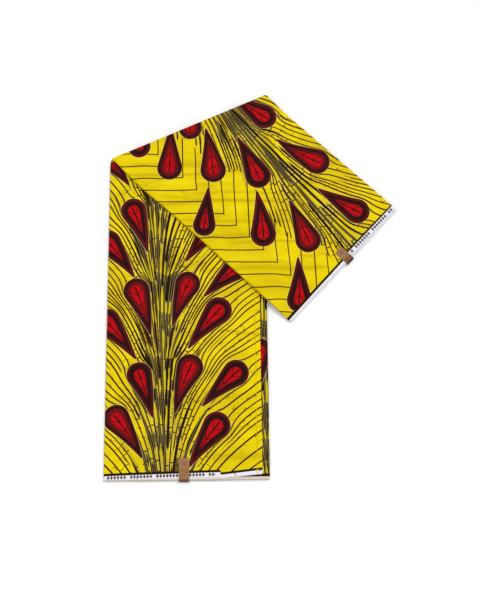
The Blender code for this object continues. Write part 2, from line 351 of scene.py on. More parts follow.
elbowRule = {
    "corner": 0.078,  # across the strip
    "wide": 0.150,
    "step": 0.0268,
    "across": 0.727,
    "firstUp": 0.692,
    "secondUp": 0.687,
    "wobble": 0.0009,
    "wave": (0.013, 1.7, 0.031),
    "swing": 0.012,  # of the stretch's open side
    "swingRun": 0.045,
}


def plumeAxes(u, v, plume):  # place across a plume's axis and up it
    du = u - plume["root"][0]
    dv = v - plume["root"][1]
    x = du * math.cos(plume["lean"]) - dv * math.sin(plume["lean"])
    y = du * math.sin(plume["lean"]) + dv * math.cos(plume["lean"])
    return x, y


def dropDistance(across, along, size):
    # Distance outside a drop: a big circle at its head, a small one at its tip, and their tangents
    head, tip, length = (bud[key] * size for key in ("head", "tip", "length"))
    slope = (head - tip) / length
    rise = math.sqrt(1 - slope**2)
    across = np.abs(across)
    side = rise * along - slope * across
    toHead = np.hypot(across, along) - head
    toTip = np.hypot(across, along - length) - tip
    between = across * rise + along * slope - head
    return np.where(side < 0, toHead, np.where(side > rise * length, toTip, between))


def plumeBend(x, plume):  # the left bend, which turns into the right one across the axis
    left, right = plume["bend"]
    return left + (right - left) * smooth(x / printRule["blend"] + 0.5)


def budFrames(plume, x, y, u, v):
    # Each bud in turn: distance outside it, place back from its head and across it, the number of the
    # stem that it sits on, its size, and how far it pushes the stems aside
    for row in plume["buds"]:
        one = dict(zip(budColumns, row))
        bend = plume["bend"][0 if one["side"] < 0 else 1]
        tangent = np.array([one["out"], bend]) / math.hypot(one["out"], bend)
        curve = bud["bow"] * one["out"] / bend**2 / (1 + (one["out"] / bend) ** 2) ** 1.5
        dx = x * one["side"] - one["out"]
        dy = y - one["up"]
        back = -(dx * tangent[0] + dy * tangent[1])
        across = dx * tangent[1] - dy * tangent[0] - curve * np.maximum(back, 0) ** 2 / 2
        number = one["side"] * one["out"] * math.exp(-one["up"] / bend) / printRule["pitch"]
        shared = smooth(x * one["side"] / bud["pushStart"])
        yield dropDistance(across, back, one["size"]), back, across, number, one["size"], shared
    for row in plume["loose"]:
        one = dict(zip(looseColumns, row))
        du = u - one["u"]
        dv = v - one["v"]
        back = -(du * math.cos(one["turn"]) + dv * math.sin(one["turn"]))
        across = du * math.sin(one["turn"]) - dv * math.cos(one["turn"])
        yield dropDistance(across, back, one["size"]), back, across, 0.0, one["size"], np.zeros_like(u)


def plumeStems(u, v, plume):
    # The number of the stem through a point, stems pushed round the buds, and the nearest bud: distance
    # outside it, and places back and across in head widths, and its kind
    x, y = plumeAxes(u, v, plume)
    number = x * np.exp(-y / plumeBend(x, plume)) / printRule["pitch"]
    pushed = number.copy()
    nearest = np.full(u.shape, printRule["far"])
    back = np.zeros_like(u)
    across = np.zeros_like(u)
    kind = np.zeros_like(u)
    for count, one in enumerate(budFrames(plume, x, y, u, v)):
        distance, ownBack, ownAcross, ownNumber, size, shared = one
        push = bud["pushShare"] * shared * np.exp(-np.maximum(distance, 0) / bud["push"])
        pushed -= push * (pushed - ownNumber)
        closer = distance < nearest
        nearest = np.where(closer, distance, nearest)
        back = np.where(closer, ownBack / (bud["head"] * size), back)
        across = np.where(closer, ownAcross / (bud["head"] * size), across)
        kind = np.where(closer, (count * bud["kindStep"]) % 1.0, kind)
    return pushed, np.stack([nearest, back, across], -1), kind


def bundleDistance(x, y, plume):
    # Distance outside the nearest dark bundle, whose middle follows a stem: its place out from the axis
    # grows as e to the power of the height over the bend
    nearest = np.full(x.shape, printRule["far"])
    for row in plume["bundles"]:
        one = dict(zip(bundleColumns, row))
        bend = plume["bend"][0 if one["side"] < 0 else 1]
        middleOut = bundleShape["out"] * np.exp(np.clip((y - one["up"]) / bend, *bundleShape["powers"]))
        offset = (x * one["side"] - middleOut) / np.sqrt(1 + (middleOut / bend) ** 2)
        reach, start = bundleShape["grow"]
        width = one["width"] * (1 - smooth(middleOut / bundleShape["fade"]))
        width = width * smooth(middleOut / reach + start)
        nearest = np.minimum(nearest, np.where(x * one["side"] > 0, np.abs(offset) - width, printRule["far"]))
    return nearest


def elbowLines(u, v):
    # Contours that run down and across the picture from a corner: the larger of two slanting distances.
    # They show beside the plume, along the closed edge
    wide = u - elbowRule["corner"]
    first = elbowRule["across"] * wide + elbowRule["firstUp"] * v
    second = elbowRule["secondUp"] * v - elbowRule["across"] * wide
    wobble = elbowRule["wobble"] * bentWave(u, v, *elbowRule["wave"])
    past = elbowRule["wide"] - u + elbowRule["swing"] * np.sin(v / elbowRule["swingRun"])
    return np.maximum(first, second) + wobble, past


def printFields(u, v, plume, elbows):
    # All that the materials read of a plume. The pitch of the stems is one over the slope of their number,
    # and the even pitch is what it would be with no bud to push them. The trunk narrows upwards
    probe = printRule["probe"]
    number, buds, kind = plumeStems(u, v, plume)
    sideways = plumeStems(u + probe, v, plume)[0] - number
    upwards = plumeStems(u, v + probe, plume)[0] - number
    pitch = np.clip(probe / np.maximum(np.hypot(sideways, upwards), tiny), 0.0, printRule["mostPitch"])
    x, y = plumeAxes(u, v, plume)
    bend = plumeBend(x, plume)
    evenPitch = printRule["pitch"] * np.exp(y / bend) / np.sqrt(1 + (x / bend) ** 2)
    along = y + x**2 / (2 * bend)
    shrink = smooth(y / plume["height"])
    trunk = np.abs(x) - plume["trunk"][0] * (1 - shrink) - plume["trunk"][1] * shrink
    elbow, shown = elbowLines(u, v) if elbows else (np.zeros_like(u), np.full(u.shape, -1.0))
    return {
        "stemField": np.stack([number, along, pitch], -1),
        "trunkField": np.stack([trunk, bundleDistance(x, y, plume), evenPitch], -1),
        "budField": buds,
        "elbowField": np.stack([elbow, shown, kind], -1),
    }


print("cloth: shapes and print rules ready")


# A shell of cloth: its outer face on a grid of points, its inner face one wall further in, and rims.
# Its map for baking has the outer face over most of the square, the rims in thin bands and the inner
# face in a narrow strip
bakeMap = {"outer": 0.90, "rimStart": 0.905, "rimStep": 0.008, "rim": 0.8, "inner": 0.94, "sheet": 0.99}


def shell(points, wall, flipped):
    rows, columns, _ = points.shape
    downRows, acrossColumns = np.gradient(points, axis=0), np.gradient(points, axis=1)
    normal = np.cross(acrossColumns, downRows)
    normal /= np.maximum(np.linalg.norm(normal, axis=-1, keepdims=True), tiny)
    inward = normal if flipped else -normal
    inner = points + wall * inward
    index = np.arange(rows * columns).reshape(rows, columns)
    quads = np.stack([index[:-1, :-1], index[:-1, 1:], index[1:, 1:], index[1:, :-1]], -1).reshape(-1, 4)
    across, down = np.meshgrid(np.linspace(0, 1, columns), np.linspace(0, 1, rows))
    flat = np.stack([across.ravel(), down.ravel()], -1)
    maps = [flat[quads] * (1, bakeMap["outer"])]
    maps.append(flat[quads[:, ::-1]] * (1, 1 - bakeMap["inner"]) + (0, bakeMap["inner"]))
    rims = []
    for count, edge in enumerate((index[0], index[:, -1], index[-1, ::-1], index[::-1, 0])):
        ahead, behind = edge[1:], edge[:-1]
        rims.append(np.stack([ahead, behind, behind + rows * columns, ahead + rows * columns], -1))
        share = np.linspace(0, 1, len(edge))
        low = bakeMap["rimStart"] + count * bakeMap["rimStep"]
        high = low + bakeMap["rimStep"] * bakeMap["rim"]
        corners = [(share[1:], low), (share[:-1], low), (share[:-1], high), (share[1:], high)]
        maps.append(np.stack([np.stack([a, np.full(len(a), b)], -1) for a, b in corners], 1))
    faces = np.concatenate([quads, quads[:, ::-1] + rows * columns, *rims])
    places = np.concatenate(maps)
    if flipped:
        faces = faces[:, ::-1]
        places = places[:, ::-1]
    vertices = np.concatenate([points.reshape(-1, 3), inner.reshape(-1, 3)])
    return {"points": vertices, "faces": faces, "map": places}


def clothSheet(section, first, last, rows, wall, flipped, shift=0.0):
    # Carries a section of (u, n) points from one line across the cloth to another. Keeps the cloth
    # coordinates of its points: the distance round the section, equal to u on the level, and v. Its flat
    # size is the distance round the section by the mean length
    u, n = (np.array(column, float)[None, :] for column in zip(*section))
    share = np.linspace(0, 1, rows)[:, None]
    wide = np.clip(u, 0, strip["width"])
    v = first(wide) * (1 - share) + last(wide) * share
    u, v, n = (np.array(a) for a in np.broadcast_arrays(u, v, n))
    past = pastFold(u, v)
    foot = footInRoll + (flapDepth - footInRoll) * smooth((past - rollLength) / fold["footReach"])
    n = np.where(past < 0, n, np.minimum(n, foot))
    sheet = shell(settle(u, v, n), wall, flipped)
    step = np.hypot(np.diff(u[0]), np.diff([point[1] for point in section]))
    around = np.concatenate([[0], np.cumsum(step)])
    start = int(np.argmax(u[0] > sideRadius))
    around = around - around[start] + u[0, start] + shift
    cloth = np.stack([np.broadcast_to(around, u.shape), v], -1).reshape(-1, 2)
    sheet["cloth"] = np.concatenate([cloth, cloth])
    sheet["u"] = np.tile(u.ravel(), 2)
    lengths = (last(wide) - first(wide))[0]
    area = float(np.sum((lengths[1:] + lengths[:-1]) / 2 * step))
    sheet["size"] = (float(step.sum()), area / float(step.sum()))
    return sheet


def sideArc(steps=7):  # round the pile's closed edge, as (u, height), up to the level face
    turns = np.linspace(0, math.pi / 2, steps, endpoint=False)
    rise = stackDepth - sideRadius
    return [(sideRadius * (1 - math.cos(a)), rise + sideRadius * math.sin(a)) for a in turns]


def nose(edge, height, depth, steps=7):  # round the fold at an open edge, from one face to the other
    turns = np.linspace(0, math.pi, steps + 2)[1:-1]
    radius = abs(depth) / 2
    centre = edge - radius
    down = math.copysign(radius, depth)
    return [(centre + radius * math.sin(a), height - down * (1 - math.cos(a))) for a in turns]


def level(start, stop, step):  # even steps of about one length, with both ends
    return list(np.linspace(start, stop, max(2, int(round(abs(stop - start) / step)) + 1)))


def endLine(ends):  # a selvedge end that runs straight from its place at one edge to that at the other
    return lambda u: ends[0] + (ends[1] - ends[0]) * u / strip["width"]


def foldLine(t):  # a line t past the fold
    return lambda u: alongAt(u, t)


def levelEdge(place, turned=1):  # distance from a selvedge line that runs level, or back from it
    return lambda u, v: turned * (v - place)


def makeMesh(name, sheets, fields, material):
    # One object from several sheets, with its print fields as attributes. In its map for baking the
    # sheets lie side by side
    points = np.concatenate([one["points"] for one in sheets])
    counts = np.cumsum([0] + [len(one["points"]) for one in sheets])
    faces = np.concatenate([one["faces"] + start for one, start in zip(sheets, counts)])
    mesh = bpy.data.meshes.new(name)
    mesh.from_pydata(points, [], faces)
    mesh.update()
    for key in fields[0]:
        values = np.concatenate([field[key] for field in fields]).astype(np.float32)
        mesh.attributes.new(key, "FLOAT_VECTOR", "POINT").data.foreach_set("vector", values.ravel())
    share = 1 / len(sheets)
    maps = [one["map"] * (share * bakeMap["sheet"], 1) + (share * k, 0) for k, one in enumerate(sheets)]
    places = np.concatenate(maps).astype(np.float32)
    mesh.uv_layers.new(name="OFBake").data.foreach_set("uv", places.ravel())
    mesh.polygons.foreach_set("use_smooth", np.ones(len(faces), bool))
    mesh.materials.append(material)
    piece = bpy.data.objects.new(name, mesh)
    bpy.context.scene.collection.objects.link(piece)
    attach(piece, "root")
    return piece


# Inks and marks of each cloth's selvedge, with the turn of its painted wrinkle shade and the place of its
# painted shade along the pressed crease
frontEnds = {
    "band": "white",
    "lineHalf": (0.0025, 0.0023),
    "wrinkleShadeTurn": 0.0,
    "pressed": 0.3102,
    "strokes": (
        (0.0290, 0.0125, 0.0085, 0.1, 0.0005),
        (0.0670, 0.0125, 0.0080, 0.2, 0.0005),
        (0.2640, 0.0085, 0.0022, 0.5, 0.0009),
        (0.3165, 0.0050, 0.0025, 0.0, 0.0016),
    ),
}
flapEnds = {
    "band": "white",
    "lineHalf": (0.0029, 0.0016),
    "wrinkleShadeTurn": 0.950,
    "pressed": 0.0,
    "strokes": ((0.1320, 0.0070, 0.0030, 0.6, 0.0006), (0.0900, 0.0060, 0.0040, 0.9, 0.0005)),
}
innerEnds = {
    "band": "undyed",
    "lineHalf": (0.0012, 0.0012),
    "wrinkleShadeTurn": 0.0,
    "pressed": 0.0,
    "strokes": (),
}
secondEnds = dict(innerEnds, lineHalf=(0.0030, 0.0030))
flapInnerEnds = dict(innerEnds, band="white")

# Selvedge lines, as places up the strip at the closed edge, each side of the step and at the open edge
selvedge = {
    "lowerLine": (0.0132, 0.0192, 0.0138, 0.0232),
    "lowerStep": 0.235,
    "lowerEnd": (0.0025, 0.0132),
    "lowerEndBend": 0.205,
    "lowerEndFrom": 0.17,
    "flapLine": (0.0075, 0.0080, 0.0128, 0.0108),  # back from the flap's end
    "flapStep": 0.181,
    "bow": 0.8,
    "second": 0.0105,
    "under": 0.0100,
    "lowerLayers": (0.0095, 0.0012),  # and how much more from each layer to the next
    "flapLayers": (0.006, 0.0007),  # back from the flap's end
}
# Stretches of selvedge with printed marks
marksAt = {"front": (0.006, 0.226), "flap": (0.196, 0.330), "none": (1.0, 1.0)}


def steppedLine(u, places, step):  # two stretches with a step between them, the first one bowed
    before = places[0] + (places[1] - places[0]) * np.clip(u / step, 0, 1) ** selvedge["bow"]
    after = places[2] + (places[3] - places[2]) * np.clip((u - step) / (strip["frontWidth"] - step), 0, 1)
    return np.where(u < step, before, after)


def frontEnd(u):  # level, then bent up towards the open edge
    start, stop = selvedge["lowerEnd"]
    rise = smooth((u - selvedge["lowerEndBend"]) / (strip["frontWidth"] - selvedge["lowerEndFrom"]))
    return start + (stop - start) * rise ** selvedge["bow"]


def frontEdge(u, v):  # distance in from the front panel's line
    return v - steppedLine(u, selvedge["lowerLine"], selvedge["lowerStep"])


def flapEdge(u, v):  # and from the flap's
    return strip["length"] - steppedLine(u, selvedge["flapLine"], selvedge["flapStep"]) - v


def clothFields(sheet, plume, elbows, edgeOf, marks, creases=()):
    # All fields of one sheet, with its selvedge line, the stretch of printed marks and its creases, whose
    # heights set the painted crease shade and light
    u, v = sheet["cloth"].T
    fields = printFields(u, v, plume, elbows)
    edge = edgeOf(np.clip(sheet["u"], 0, strip["width"]), v)
    marked = np.minimum(u - marks[0], marks[1] - u)
    crease = creaseHeight(sheet["u"], v, creases) if creases else np.zeros_like(u)
    fields["edgeField"] = np.stack([edge, marked, crease / creaseShape["fullShadeAndLight"]], -1)
    fields["clothField"] = np.stack([u, v, np.zeros_like(u)], -1)
    return fields


# Materials
edgeBlur = 0.0003  # of a printed edge


class Wire:  # one number of a material, so that a pattern's rule reads as a formula
    def __init__(self, tree, socket):
        self.tree = tree
        self.socket = socket

    def node(self, kind, **settings):
        made = self.tree.nodes.new(kind)
        for key, value in settings.items():
            setattr(made, key, value)
        return made

    def feed(self, node, values):
        for place, value in values.items():
            if isinstance(value, Wire):
                self.tree.links.new(value.socket, node.inputs[place])
            else:
                node.inputs[place].default_value = value
        return node

    def math(self, operation, *others):
        node = self.node("ShaderNodeMath", operation=operation)
        self.feed(node, dict(enumerate((self, *others))))
        return Wire(self.tree, node.outputs[0])

    def __add__(self, other):
        return self.math("ADD", other)

    def __sub__(self, other):
        return self.math("SUBTRACT", other)

    def __mul__(self, other):
        return self.math("MULTIPLY", other)

    def __truediv__(self, other):
        return self.math("DIVIDE", other)

    def size(self):
        return self.math("ABSOLUTE")

    def whole(self):
        return self.math("FLOOR")

    def part(self):
        return self.math("FRACT")

    def least(self, other):
        return self.math("MINIMUM", other)

    def most(self, other):
        return self.math("MAXIMUM", other)

    def under(self, limit, blur=edgeBlur):  # 1 below the limit, 0 above it, over a narrow blur
        node = self.node("ShaderNodeMapRange", interpolation_type="SMOOTHSTEP")
        self.feed(node, {0: self, 1: limit - blur / 2, 2: limit + blur / 2, 3: 1.0, 4: 0.0})
        return Wire(self.tree, node.outputs[0])

    def above(self, limit, blur=edgeBlur):
        return self.under(limit, blur).math("MULTIPLY_ADD", -1.0, 1.0)

    def raised(self, base):  # the base to the power of the wire
        node = self.node("ShaderNodeMath", operation="POWER")
        self.feed(node, {0: base, 1: self})
        return Wire(self.tree, node.outputs[0])

    def chance(self, salt=0.0):  # the same random number, 0 to 1, for equal wires
        node = self.node("ShaderNodeTexWhiteNoise", noise_dimensions="1D")
        self.feed(node, {1: self + salt})
        return Wire(self.tree, node.outputs[0])


def attribute(tree, name):  # the three numbers of a vector attribute
    reader = tree.nodes.new("ShaderNodeAttribute")
    reader.attribute_name = name
    parts = tree.nodes.new("ShaderNodeSeparateXYZ")
    tree.links.new(reader.outputs["Vector"], parts.inputs[0])
    return [Wire(tree, socket) for socket in parts.outputs], reader.outputs["Vector"]


def newMaterial(name):
    material = bpy.data.materials.new(name)
    material.use_nodes = True
    return material, material.node_tree


def noiseOf(tree, place, scale, detail, salt):
    node = tree.nodes.new("ShaderNodeTexNoise")
    node.noise_dimensions = "4D"
    node.inputs["W"].default_value = salt
    node.inputs["Scale"].default_value = scale
    node.inputs["Detail"].default_value = detail
    tree.links.new(place, node.inputs["Vector"])
    return Wire(tree, node.outputs[0])


inks = {
    "yellow": (0.740, 0.575, 0.002),
    "paleYellow": (0.820, 0.670, 0.008),
    "deep": (0.530, 0.385, 0.003),
    "line": (0.018, 0.008, 0.001),
    "brown": (0.090, 0.031, 0.001),
    "olive": (0.085, 0.080, 0.024),
    "cream": (0.720, 0.600, 0.240),
    "maroon": (0.105, 0.006, 0.007),
    "rim": (0.020, 0.005, 0.005),
    "red": (0.340, 0.002, 0.005),
    "bright": (0.500, 0.003, 0.006),
    "white": (0.720, 0.700, 0.740),
    "undyed": (0.600, 0.520, 0.450),
    "paper": (0.270, 0.135, 0.055),
    "paperDark": (0.160, 0.075, 0.030),
    "paperPale": (0.380, 0.220, 0.110),
    "paperRosy": (0.330, 0.170, 0.105),
    "paperStamp": (0.095, 0.045, 0.020),
}


class Paint:  # a ground colour, with inks laid over it one after another
    def __init__(self, tree, ink):
        self.tree = tree
        self.colour = (*inks[ink], 1.0)

    def lay(self, ink, amount):
        mix = self.tree.nodes.new("ShaderNodeMix")
        mix.data_type = "RGBA"
        if isinstance(self.colour, tuple):
            mix.inputs[6].default_value = self.colour
        else:
            self.tree.links.new(self.colour, mix.inputs[6])
        mix.inputs[7].default_value = (*inks[ink], 1.0)
        self.tree.links.new(amount.socket, mix.inputs[0])
        self.colour = mix.outputs[2]

    def line(self, away, half, core, amount):  # brown, with a darker core
        self.lay("brown", away.under(half + stemWork["edge"]) * amount)
        self.lay("line", away.under(core) * amount)


# Settings of the print's marks. A name in Ink is the strength of one layer of ink, and most pairs are a
# limit and the blur across it
sharp = 0.01  # blur of a choice made by a random number
stemWork = {
    "late": 0.75,  # share of an octave over which new stems start
    "growth": 9.0,  # how fast they reach their width
    "started": (0.02, 0.02),  # share of it where they first show
    "half": 0.00112,  # half width of a fine stem
    "extra": 0.00050,
    "edge": 0.0002,  # a line's brown edge reaches this far past its half width
    "core": 0.0008,  # a fine stem's dark core stops this far short of it
    "wide": 0.0023,  # half width of a scalloped stem, between two scallops
    "scallop": 0.0009,
    "scallopStep": 0.0048,
    "scallopReach": (0.034, 0.05),  # how far outside the trunk stems are scalloped
    "unscalloped": 0.26,
    "closer": 0.20,  # in a bundle
    "trunkBlur": 0.010,
    "bundleBlur": 0.0008,
    "end": (-0.015, 0.001),  # past the start of the elbow lines
    "endSpread": 0.03,
    "halo": 0.0023,
    "haloInk": (0.20, 0.04),  # more in the trunk, and everywhere
    "border": 0.0009,
    "borderInk": 0.30,
    "vein": 0.00045,
    "veined": (0.75, 0.1),
    "veinless": 0.45,
    "veinInk": 0.35,
}
gapWork = {
    "filled": 0.88,  # share of the trunk's gaps that hold a dark sliver
    "black": 0.47,  # share of these that are black
    "thread": 0.0007,  # half width of the dark thread in the others
    "width": 0.43,
    "start": 0.45,
    "stop": 0.5,
    "taper": 3.5,
    "dotStep": 0.0031,
    "dot": (0.25, 0.2),
    "dotted": 0.5,
    "dotInk": 0.30,
    "tintInk": 0.14,
}
tickWork = {"step": 0.021, "half": 0.00135, "shift": 7.0, "reach": (0.052, 0.06), "left": 0.15}
twigWork = {
    "step": 0.030,
    "half": 0.00140,
    "shift": 5.0,
    "edgeShade": 0.72,  # share of places with no twig
    "start": (0.024, 0.01),  # distance outside the trunk
    "limb": 1.5,
    "fork": 0.7,
    "reach": 0.36,
}


def invert(wire):
    return wire.math("MULTIPLY_ADD", -1.0, 1.0)


def stemInk(paint, plume, stem, trunk, past):
    # Stems lie where the stem number, divided by a power of two, is whole. The power is the one that
    # keeps them a fair pitch apart, so that new stems, those with an odd index, start between the others
    # where these spread. The odd factors only keep the random numbers apart
    number, along, pitch = stem
    outside, bundleOut, evenPitch = trunk
    inTrunk = outside.under(0.0, stemWork["trunkBlur"])
    inBundle = bundleOut.under(0.0, stemWork["bundleBlur"])
    atTop = (along / plume["height"]).most(0.0).least(1.0)
    root, top = plume["closest"]
    closest = outside.most(0.0) * plume["opens"] + atTop * (top - root) + root
    closest = closest * invert(inBundle * stemWork["closer"])
    octave = (closest / evenPitch).math("LOGARITHM", 2.0)
    power = octave.math("CEIL")
    progress = power - octave
    factor = power.raised(2.0)
    scaled = number / factor
    index = (scaled + 0.5).whole()
    spread = pitch * factor
    offset = (scaled - index) * spread
    away = offset.size()
    base = index * factor
    fate = (base * 7.31).chance()
    other = (base * 3.17).chance(0.37)
    isNew = (index * 0.5).part().above(0.25, sharp)
    grow = ((progress - fate * stemWork["late"]) * stemWork["growth"]).least(1.0).most(0.0)
    started = grow.above(*stemWork["started"])
    slim = invert(isNew * invert(grow))
    ended = (past - other * stemWork["endSpread"]).above(*stemWork["end"])
    shown = invert(isNew * invert(started)) * invert(ended)

    # Gaps between stems: most in the trunk hold a dark sliver with pointed ends
    gap = scaled.whole() + 0.5
    gapFate = (gap * factor * 5.77).chance(0.11)
    middleAway = (scaled - gap).size() * spread
    dense = (inTrunk + inBundle).least(1.0)
    filled = dense * gapFate.under(gapWork["filled"], sharp)
    soon = (gap * factor * 3.91).chance(0.71)
    room = (progress - soon * gapWork["start"]).least(invert(progress) - gapFate * gapWork["stop"])
    taper = room * gapWork["taper"]
    fill = filled * invert(ended) * (middleAway - spread * taper.least(1.0) * gapWork["width"]).under(0.0)
    dots = ((along / gapWork["dotStep"] + gapFate).part() - 0.5).size().under(*gapWork["dot"])
    dotted = dots * gapFate.above(gapWork["dotted"], sharp)
    paint.lay("olive", dense * (dotted * gapWork["dotInk"] + gapWork["tintInk"]))
    paint.lay("olive", fill)
    black = middleAway.under(gapWork["thread"]).most(soon.under(gapWork["black"], sharp))
    paint.lay("line", black * fill)

    # Short ticks across the gaps, near the trunk
    cell = along / tickWork["step"] + gapFate * tickWork["shift"]
    tickFate = (cell.whole() * 1.7 + gap * factor * 13.1).chance(0.53)
    near = outside.under(*tickWork["reach"]) * tickFate.above(tickWork["left"], sharp)
    tick = ((cell.part() - 0.5) * tickWork["step"]).size().under(tickWork["half"]) * near
    paint.lay("line", tick * shown)

    # Twigs on the outer stems
    cell = along / twigWork["step"] + other * twigWork["shift"]
    place = (cell.part() - 0.5) * twigWork["step"]
    twigFate = (cell.whole() * 1.7 + base * 13.1).chance(0.11)
    grown = twigFate.above(twigWork["edgeShade"], sharp) * outside.above(*twigWork["start"])
    side = ((twigFate * 23.0).part() - 0.5).math("SIGN")
    beside = offset * side
    limb = (place - beside * twigWork["limb"]).size().under(twigWork["half"])
    fork = (place + beside * twigWork["fork"]).size().under(twigWork["half"])
    reach = (beside - spread * twigWork["reach"]).under(0.0)
    paint.lay("brown", (limb + fork).least(1.0) * reach * beside.above(0.0) * grown * shown)

    # The stems themselves, most of them scalloped near the trunk
    halo = away.under(stemWork["halo"]) * shown
    inkInside, inkOutside = stemWork["haloInk"]
    paint.lay("cream", halo * (inTrunk * inkInside + inkOutside))
    scalloped = outside.under(*stemWork["scallopReach"]).most(inBundle)
    scalloped = scalloped * fate.above(stemWork["unscalloped"], sharp)
    scallop = ((along / stemWork["scallopStep"] + other).part() - 0.5).size() * (2 * stemWork["scallop"])
    fine = fate * stemWork["extra"] + stemWork["half"]
    half = (scalloped * (scallop + stemWork["wide"])).most(fine) * slim
    paint.lay("cream", away.under(half + stemWork["border"]) * scalloped * shown * stemWork["borderInk"])
    paint.line(away, half, half - invert(scalloped) * stemWork["core"], shown)
    vein = away.under(stemWork["vein"]) * scalloped.above(*stemWork["veined"])
    vein = vein * other.above(stemWork["veinless"], sharp)
    paint.lay("cream", vein * shown * stemWork["veinInk"])


# Distances outside a bud's outline, so they are below 0 inside it
budWork = {
    "halo": 0.0016,
    "haloInk": 0.55,
    "outline": 0.0008,
    "maroon": -0.0011,
    "black": (-0.0022, 0.0006),
    "inner": (-0.0064, 0.0006),
    "innerShare": (0.34, 0.1),  # buds with an inner maroon rim
    "shift": 0.0034,
    "heart": (-0.0136, 0.0010),
    "glow": (-0.0162, 0.004),
    "glowInk": 0.75,
    "narrow": 0.0012,
    "rib": (0.060, -0.012, 0.02),  # half width, its change along the bud, and blur, in head widths
    "ribEnd": (-0.35, 0.05),
    "veinEnd": (-0.30, 0.05),
    "vein": (0.055, 0.03),
    "veinStep": (1.15, 1.4),
}


def budInk(paint, out, back, across, kind):
    # A leaf-shaped bud: pale halo, dark outline, maroon and near-black rims, red heart with a midrib and
    # slanting side veins. The rims change from bud to bud
    rims = out + kind * budWork["shift"]
    paint.lay("cream", out.under(budWork["halo"]) * budWork["haloInk"])
    paint.lay("line", out.under(budWork["outline"]))
    paint.lay("maroon", out.under(budWork["maroon"]))
    paint.lay("rim", rims.under(*budWork["black"]))
    paint.lay("maroon", rims.under(*budWork["inner"]) * kind.under(*budWork["innerShare"]))
    narrowed = out - back * budWork["narrow"]
    heart = narrowed.under(*budWork["heart"])
    paint.lay("red", heart)
    paint.lay("bright", narrowed.under(*budWork["glow"]) * budWork["glowInk"])
    half, change, blur = budWork["rib"]
    rib = across.size().under(back * change + half, blur) * back.above(*budWork["ribEnd"])
    steps = back * budWork["veinStep"][0] + across.size() * budWork["veinStep"][1]
    vein = (steps.part() - 0.5).size().under(*budWork["vein"])
    paint.lay("rim", heart * (rib + vein * back.above(*budWork["veinEnd"])).least(1.0))


# The ground and its wear, with painted shade and light along creases, wrinkles and the pressed line. A noise
# has its scale, its detail and its salt
groundWork = {
    "broad": (11.0, 2.0, 2.0),
    "broadPart": (0.52, 0.12),
    "broadInk": 0.38,
    "blot": (32.0, 3.0, 0.0),
    "blotPart": (0.52, 0.40),
    "blotInk": 0.30,
    "troughLightInk": 0.60,
    "ridgeShadeInk": 0.85,
    "ridgeShade": 0.10,
    "wrinkleShadePart": (0.46, 0.08),
    "wrinkleShadeInk": 0.60,
    "wrinkleShadeScale": (9.0, 75.0),
    "wrinkleShadeNoise": (1.0, 1.0, 9.0),
    "wrinkleShade": (0.014, 0.016),
    "vein": (60.0, 2.0, 3.0),
    "patch": (9.0, 1.0, 8.0),
    "patchPart": (0.55, 0.1),
    "crackle": (0.006, 0.006),
    "crackleInk": 0.16,
    "pressShadeBreakup": (35.0, 1.0, 6.0),
    "pressShadeBreakupPart": (0.42, 0.2),
    "press": (0.0011, 0.0012),
    "pressShadeInk": 0.7,
    "elbow": (0.00105, 0.00030),  # half widths of an elbow line and of its core
    "elbowFrom": (0.0, 0.001),
}
bandWork = {
    "lozengeStep": 0.0066,
    "lozengeAt": 0.0062,  # past the dark line
    "lozengeFlat": 0.75,
    "lozenge": 0.0031,
    "groupStep": 0.0528,
    "group": 0.875,
    "lozengeInk": 0.92,
    "strokeInk": 0.8,
    "edgeShade": (-0.0105, 0.001),
    "edgeShadeInk": 0.6,
}


def wrinkleShadeLines(tree, clothU, clothV, turn):
    # Painted shade of fine wrinkles that run at an angle to the cloth, long along their run and close across
    # it
    along = clothU * math.cos(turn) + clothV * math.sin(turn)
    across = clothV * math.cos(turn) - clothU * math.sin(turn)
    place = tree.nodes.new("ShaderNodeCombineXYZ")
    for slot, run in enumerate((along, across)):
        tree.links.new((run * groundWork["wrinkleShadeScale"][slot]).socket, place.inputs[slot])
    noise = noiseOf(tree, place.outputs[0], *groundWork["wrinkleShadeNoise"])
    return (noise - 0.5).size().under(*groundWork["wrinkleShade"])


def selvedgeInk(paint, clothU, edge, marked, ends):
    # A dark line, the bare band past it with a row of lozenges, short threads, and painted shade over its
    # own edge. A thread has its place across the cloth, its two ends as distances past the line, its lean and
    # half width
    thick, thin = ends["lineHalf"]
    half = clothU * ((thin - thick) / strip["width"]) + thick
    paint.lay("line", edge.under(half))
    paint.lay(ends["band"], edge.under(half * -1.0))
    step = bandWork["lozengeStep"]
    beside = ((clothU / step).part() - 0.5).size() * step
    lozenge = beside + (edge + bandWork["lozengeAt"]).size() * bandWork["lozengeFlat"]
    grouped = (clothU / bandWork["groupStep"]).part().under(bandWork["group"], sharp)
    marks = lozenge.under(bandWork["lozenge"]) * marked.above(0.0) * grouped
    paint.lay("line", marks * bandWork["lozengeInk"])
    for at, far, near, lean, width in ends["strokes"]:
        beside = (clothU - at + (edge + near) * lean).size()
        paint.lay("line", beside.under(width) * edge.under(-near) * edge.above(-far) * bandWork["strokeInk"])
    # Painted shade over the band's outermost strip, in undyed colour
    paint.lay("undyed", edge.under(*bandWork["edgeShade"]) * bandWork["edgeShadeInk"])


